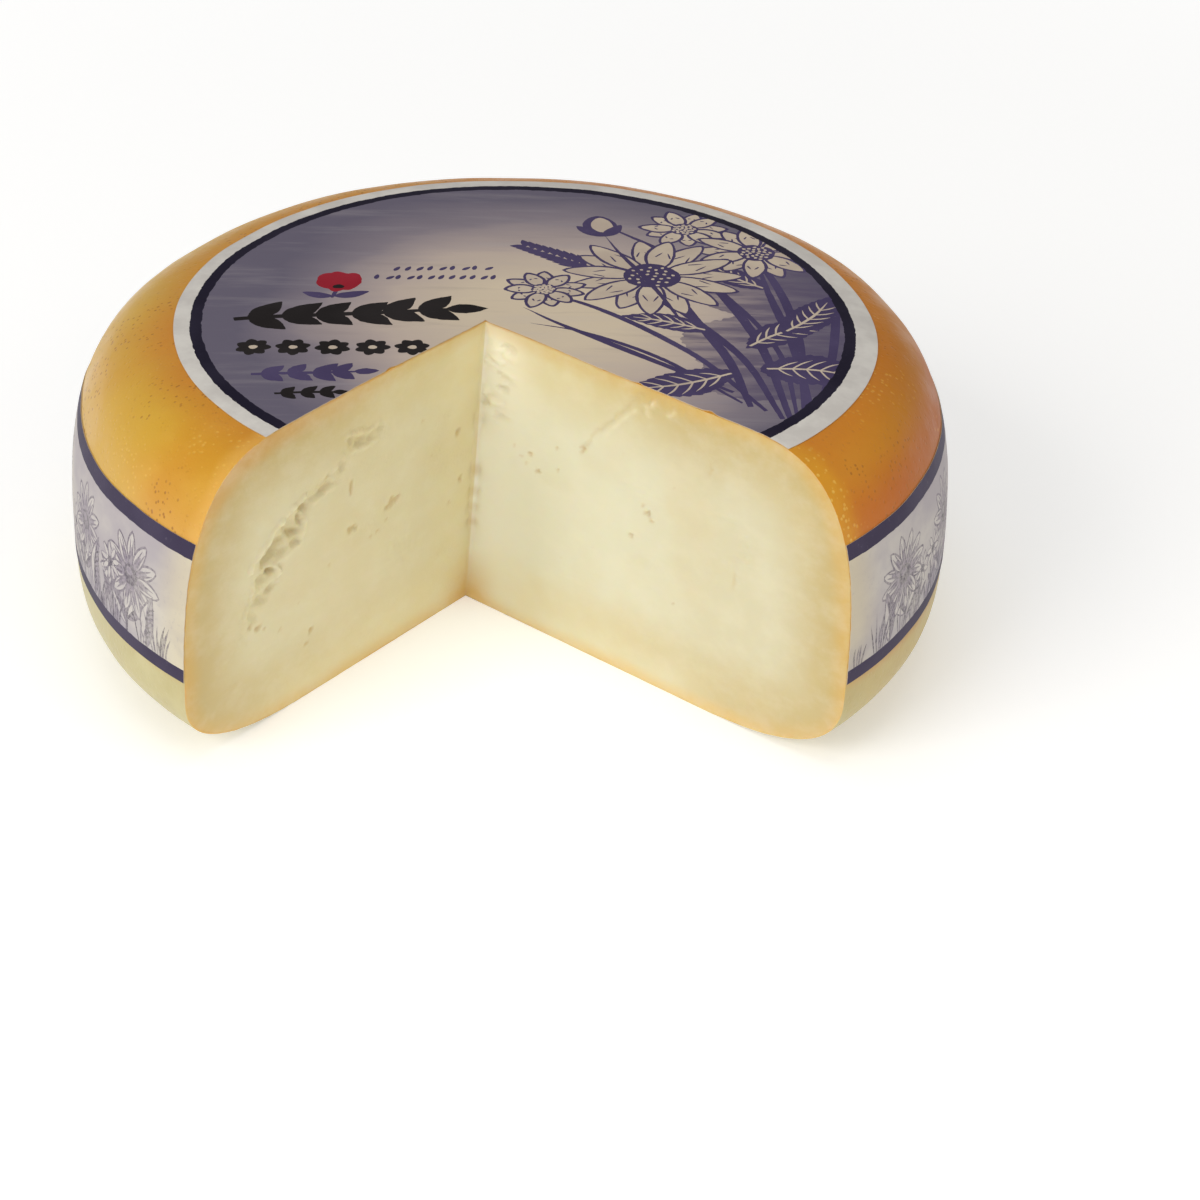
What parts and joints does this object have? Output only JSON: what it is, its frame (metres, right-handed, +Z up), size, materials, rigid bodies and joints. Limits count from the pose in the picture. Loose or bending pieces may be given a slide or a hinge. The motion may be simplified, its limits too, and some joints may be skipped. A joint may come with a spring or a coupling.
{
  "type": "cheese wheel",
  "caption": "Round Gouda-type cheese wheel with one slice cut out of it, a coated rind, a round paper label on top and a paper band round its side.",
  "frame": {"origin": "on the wheel's axis, in the plane of the foot that it rests on", "axes": "+Z up along the wheel's axis, -Y roughly towards the mouth of the cut-out slice, whose middle line is about 5 degrees off -Y towards +X, +X to the right as seen from the mouth"},
  "size_m": [0.2512, 0.219, 0.0932],
  "materials": {
    "cheese": "satin",
    "label_paper": "satin",
    "band_paper": "satin"
  },
  "bodies": {
    "root": {"cheese": "cheese", "top_label": "label_paper", "side_band": "band_paper"}
  },
  "joints": []
}
